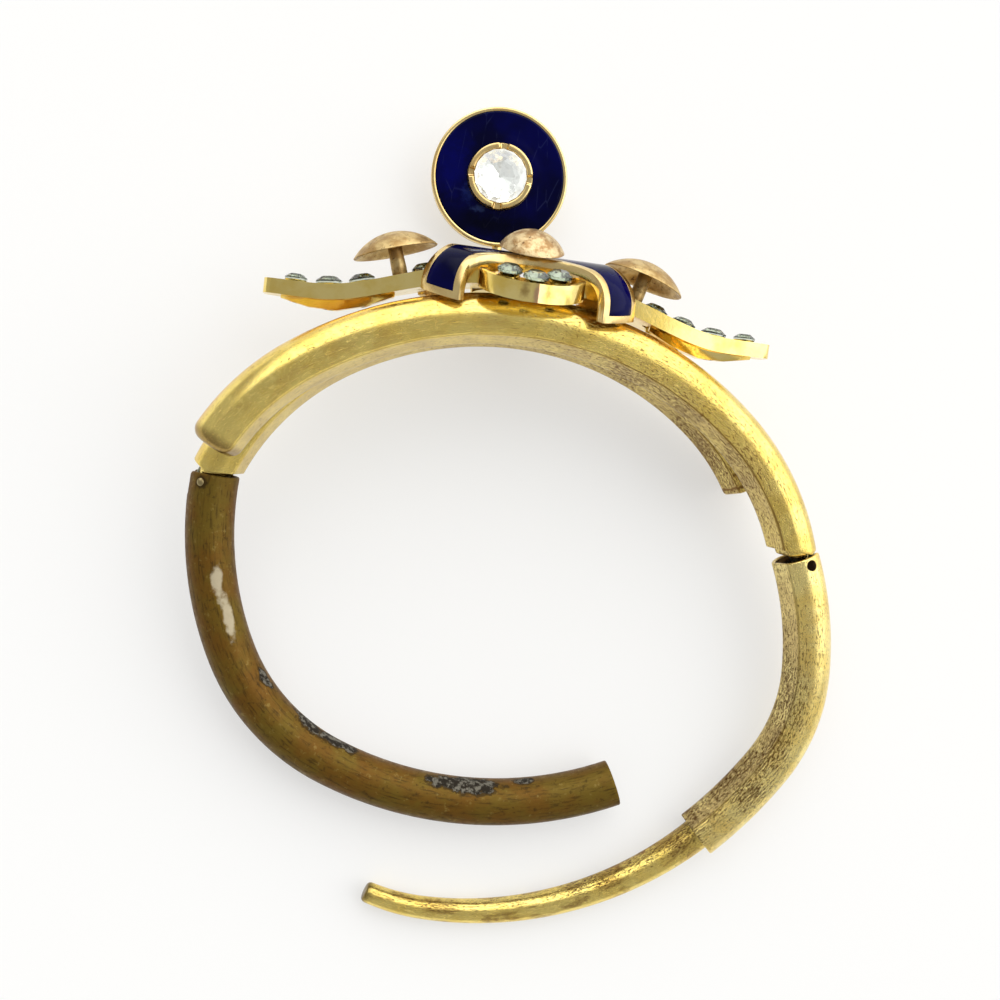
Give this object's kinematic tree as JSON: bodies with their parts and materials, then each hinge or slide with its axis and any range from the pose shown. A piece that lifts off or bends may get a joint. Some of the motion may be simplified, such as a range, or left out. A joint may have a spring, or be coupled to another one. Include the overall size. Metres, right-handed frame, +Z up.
{
  "type": "hinged bangle",
  "caption": "Small hinged bangle of hollow tubes, lying open: crossed front tubes under a flower of leaves, enamel, domes, stones and a disc, two hinged arms and a tongue clasp.",
  "frame": {"origin": "middle of the wrist opening, on the band's middle plane", "axes": "+Z up from the floor the bangle lies on, +X along the hinge line to the right hinge, +Y towards the ornament"},
  "size_m": [0.0718, 0.0896, 0.0205],
  "materials": {
    "gold": "worn polished gilding",
    "lacquered": "tarnished gilding",
    "domes": "matte brushed",
    "rivets": "dull",
    "enamel": "gloss enamel",
    "stones": "cut and polished",
    "crystal": "polished"
  },
  "bodies": {
    "front": {"near_tube": "gold", "far_tube": "gold", "petal_cross": "gold", "saddle_frame": "gold", "saddle_enamel": "enamel", "disc_dish": "gold", "disc_enamel": "enamel", "disc_crystal": "crystal", "dome_west": "domes", "dome_east": "domes", "dome_near": "domes", "stone_west_1": "stones", "stone_west_2": "stones", "stone_west_3": "stones", "stone_west_4": "stones", "stone_east_1": "stones", "stone_east_2": "stones", "stone_east_3": "stones", "stone_east_4": "stones", "stone_near_1": "stones", "stone_near_2": "stones", "stone_near_3": "stones", "stone_far_1": "stones", "stone_far_2": "stones", "stone_far_3": "stones"},
    "left_arm": {"left_arm": "lacquered", "hinge_pin_left": "rivets"},
    "right_arm": {"right_arm": "gold", "hinge_pin_right": "rivets", "clasp_tongue": "gold"}
  },
  "joints": [
    {"name": "left_hinge", "type": "hinge", "parent": "front", "child": "left_arm", "pos_m": [-0.03269, 0.00476, 0.0009], "axis": [-0.0078, 0.1338, -0.991], "range_deg": [0, 5]},
    {"name": "right_hinge", "type": "hinge", "parent": "front", "child": "right_arm", "pos_m": [0.0327, 0.00476, 0.00039], "axis": [0.0078, -0.1338, 0.991], "range_deg": [-6, 11]}
  ]
}
